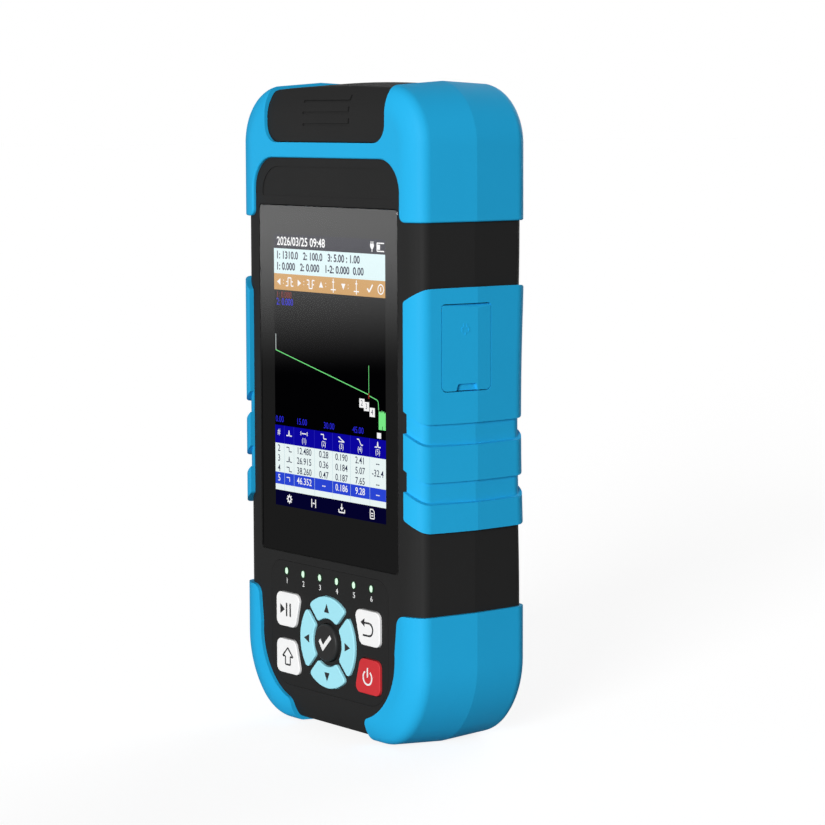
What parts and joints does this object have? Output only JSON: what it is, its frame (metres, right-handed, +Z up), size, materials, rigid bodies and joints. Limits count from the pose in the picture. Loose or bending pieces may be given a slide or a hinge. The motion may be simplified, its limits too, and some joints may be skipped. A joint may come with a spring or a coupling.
{
  "type": "handheld optical time domain reflectometer",
  "caption": "Upright handheld optical fibre tester with a drafted two-part housing, rubber bumpers and grips, display, keypad, hinged port cover, socket flap and tilt stand.",
  "frame": {"origin": "middle of the foot, on the surface the instrument stands on", "axes": "+Z up along the height, -Y out of the display, +X to the right as the user sees it"},
  "size_m": [0.103, 0.0464, 0.2162],
  "materials": {
    "black_housing": "fine spark texture, satin",
    "blue_overmould": "soft-touch overmoulded rubber, satin",
    "seal_rubber": "matt",
    "screw_steel": "blackened, satin",
    "pin_steel": "drawn wire",
    "window_acrylic": "polished, hard-coated",
    "display_face": "lit colour display under the window",
    "keypad_panel": "satin film",
    "circuit_board": "solder resist",
    "status_lens": "clear light pipe",
    "module_can": "plain sheet",
    "battery_wrap": "shrink film",
    "ferrule_port": "nickel-plated, with a zirconia sleeve",
    "port_cover_rubber": "satin",
    "socket_shell": "plated steel",
    "white_key": "silicone cap, satin",
    "red_key": "silicone cap, satin",
    "cyan_key": "silicone cap, satin",
    "black_key": "silicone cap, satin"
  },
  "bodies": {
    "case": {"front_case": "black_housing", "rear_case": "black_housing", "case_seal": "seal_rubber", "case_screws": "screw_steel", "top_bumper": "blue_overmould", "foot_bumper_right": "blue_overmould", "foot_bumper_left": "blue_overmould", "grip_left": "blue_overmould", "grip_right": "blue_overmould", "display_window": "window_acrylic", "window_gasket": "seal_rubber", "display_module": "display_face", "keypad_panel": "keypad_panel", "key_membrane": "seal_rubber", "key_board": "circuit_board", "status_lenses": "status_lens", "main_board": "circuit_board", "optics_module": "module_can", "battery_pack": "battery_wrap", "battery_cover": "black_housing", "battery_cover_screws": "screw_steel", "port_block": "black_housing", "power_meter_port": "ferrule_port", "otdr_port": "ferrule_port", "fault_light_port": "ferrule_port", "port_cover_pin": "pin_steel", "side_flap_pin": "pin_steel", "socket_block": "black_housing", "usb_socket": "socket_shell", "charging_socket": "socket_shell", "tilt_stand_pin": "pin_steel"},
    "port_cover": {"port_cover": "port_cover_rubber"},
    "side_flap": {"side_flap": "blue_overmould"},
    "tilt_stand": {"tilt_stand": "black_housing"},
    "play_key": {"play_key": "white_key"},
    "shift_key": {"shift_key": "white_key"},
    "back_key": {"back_key": "white_key"},
    "power_key": {"power_key": "red_key"},
    "up_key": {"up_key": "cyan_key"},
    "left_key": {"left_key": "cyan_key"},
    "down_key": {"down_key": "cyan_key"},
    "right_key": {"right_key": "cyan_key"},
    "ok_key": {"ok_key": "black_key"}
  },
  "joints": [
    {"name": "port_cover_hinge", "type": "hinge", "parent": "case", "child": "port_cover", "pos_m": [0, 0.0078, 0.2135], "axis": [-1, 0, 0], "range_deg": [0, 115]},
    {"name": "side_flap_hinge", "type": "hinge", "parent": "case", "child": "side_flap", "pos_m": [0.0499, 0, 0.1438], "axis": [0, -1, 0], "range_deg": [0, 90]},
    {"name": "tilt_stand_hinge", "type": "hinge", "parent": "case", "child": "tilt_stand", "pos_m": [0, 0.0188, 0.1444], "axis": [1, 0, 0], "range_deg": [0, 60]},
    {"name": "play_key_press", "type": "slide", "parent": "case", "child": "play_key", "axis": [0, 1, 0], "range_m": [0, 0.0007], "stiffness_N_per_m": 400, "springref_m": -0.0005},
    {"name": "shift_key_press", "type": "slide", "parent": "case", "child": "shift_key", "axis": [0, 1, 0], "range_m": [0, 0.0007], "stiffness_N_per_m": 400, "springref_m": -0.0005},
    {"name": "back_key_press", "type": "slide", "parent": "case", "child": "back_key", "axis": [0, 1, 0], "range_m": [0, 0.0007], "stiffness_N_per_m": 400, "springref_m": -0.0005},
    {"name": "power_key_press", "type": "slide", "parent": "case", "child": "power_key", "axis": [0, 1, 0], "range_m": [0, 0.0007], "stiffness_N_per_m": 400, "springref_m": -0.0005},
    {"name": "up_key_press", "type": "slide", "parent": "case", "child": "up_key", "axis": [0, 1, 0], "range_m": [0, 0.0007], "stiffness_N_per_m": 400, "springref_m": -0.0005},
    {"name": "left_key_press", "type": "slide", "parent": "case", "child": "left_key", "axis": [0, 1, 0], "range_m": [0, 0.0007], "stiffness_N_per_m": 400, "springref_m": -0.0005},
    {"name": "down_key_press", "type": "slide", "parent": "case", "child": "down_key", "axis": [0, 1, 0], "range_m": [0, 0.0007], "stiffness_N_per_m": 400, "springref_m": -0.0005},
    {"name": "right_key_press", "type": "slide", "parent": "case", "child": "right_key", "axis": [0, 1, 0], "range_m": [0, 0.0007], "stiffness_N_per_m": 400, "springref_m": -0.0005},
    {"name": "ok_key_press", "type": "slide", "parent": "case", "child": "ok_key", "axis": [0, 1, 0], "range_m": [0, 0.0007], "stiffness_N_per_m": 400, "springref_m": -0.0005}
  ]
}
